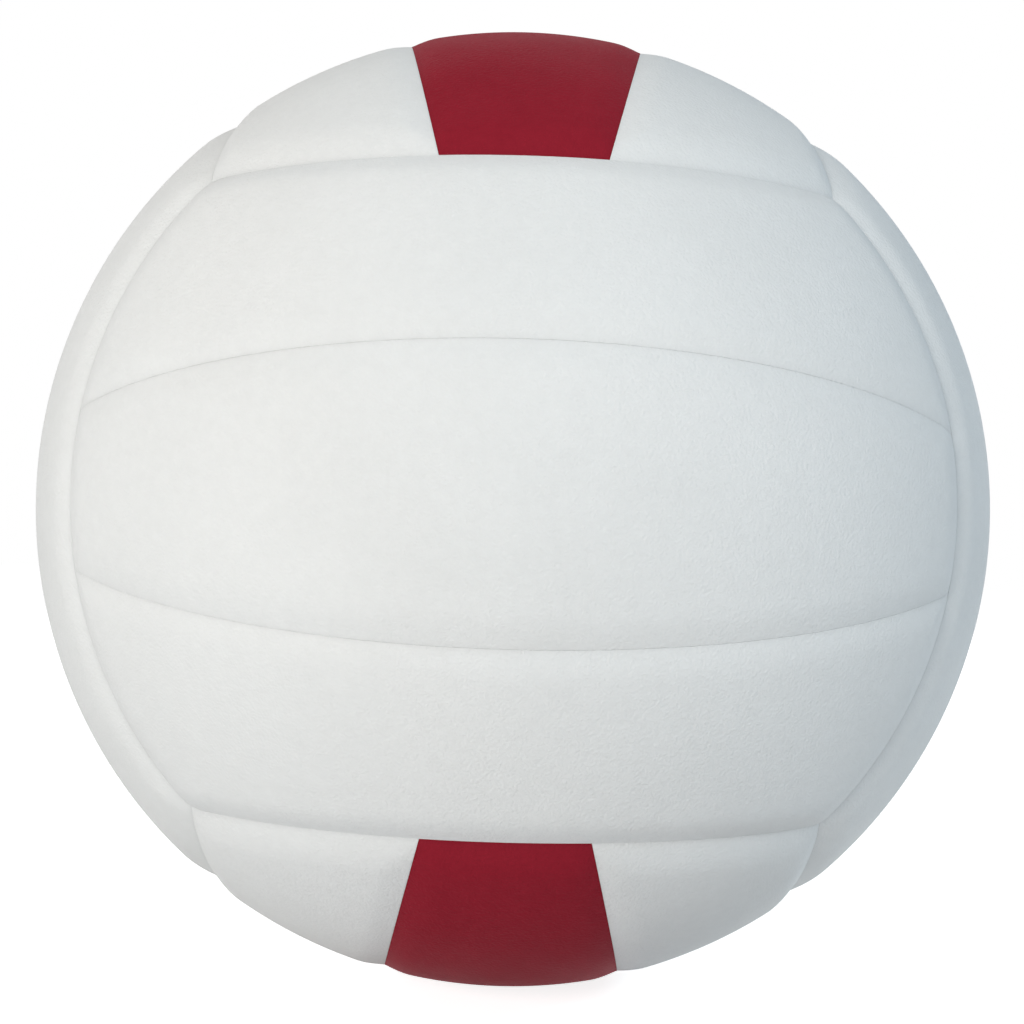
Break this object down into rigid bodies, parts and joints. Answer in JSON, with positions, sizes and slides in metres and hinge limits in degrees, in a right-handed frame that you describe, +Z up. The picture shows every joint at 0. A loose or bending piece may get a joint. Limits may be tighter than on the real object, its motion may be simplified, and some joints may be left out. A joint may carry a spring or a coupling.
{
  "type": "volleyball",
  "caption": "Round inflated volleyball: strips in groups set crosswise, soft creased seams, foam pads, cloth lining, bladder and a needle valve.",
  "frame": {"origin": "centre of the ball", "axes": "+Z up, -Y out of the front group that faces the camera, +X out of the valve"},
  "size_m": [0.2098, 0.21, 0.21],
  "materials": {
    "white_skin": "satin",
    "red_skin": "satin",
    "foam": "matte",
    "thread": "matte",
    "cloth": "matte",
    "butyl": "satin",
    "boot_rubber": "matte",
    "core_rubber": "satin"
  },
  "bodies": {
    "ball": {"front_lower_panel": "white_skin", "front_middle_panel": "white_skin", "front_upper_panel": "white_skin", "back_lower_panel": "white_skin", "back_middle_panel": "white_skin", "back_upper_panel": "white_skin", "top_left_panel": "white_skin", "top_middle_panel": "red_skin", "top_right_panel": "white_skin", "bottom_left_panel": "white_skin", "bottom_middle_panel": "red_skin", "bottom_right_panel": "white_skin", "left_front_panel": "white_skin", "left_middle_panel": "white_skin", "left_back_panel": "white_skin", "right_front_panel": "white_skin", "right_middle_panel": "white_skin", "right_back_panel": "white_skin", "front_lower_foam": "foam", "front_middle_foam": "foam", "front_upper_foam": "foam", "back_lower_foam": "foam", "back_middle_foam": "foam", "back_upper_foam": "foam", "top_left_foam": "foam", "top_middle_foam": "foam", "top_right_foam": "foam", "bottom_left_foam": "foam", "bottom_middle_foam": "foam", "bottom_right_foam": "foam", "left_front_foam": "foam", "left_middle_foam": "foam", "left_back_foam": "foam", "right_front_foam": "foam", "right_middle_foam": "foam", "right_back_foam": "foam", "seam_thread": "thread", "cloth_lining": "cloth", "bladder": "butyl", "valve_boot": "boot_rubber"},
    "core": {"valve_core": "core_rubber"}
  },
  "joints": [
    {"name": "core_pull", "type": "slide", "parent": "ball", "child": "core", "axis": [1, 0, 0], "range_m": [0, 0.02]}
  ]
}
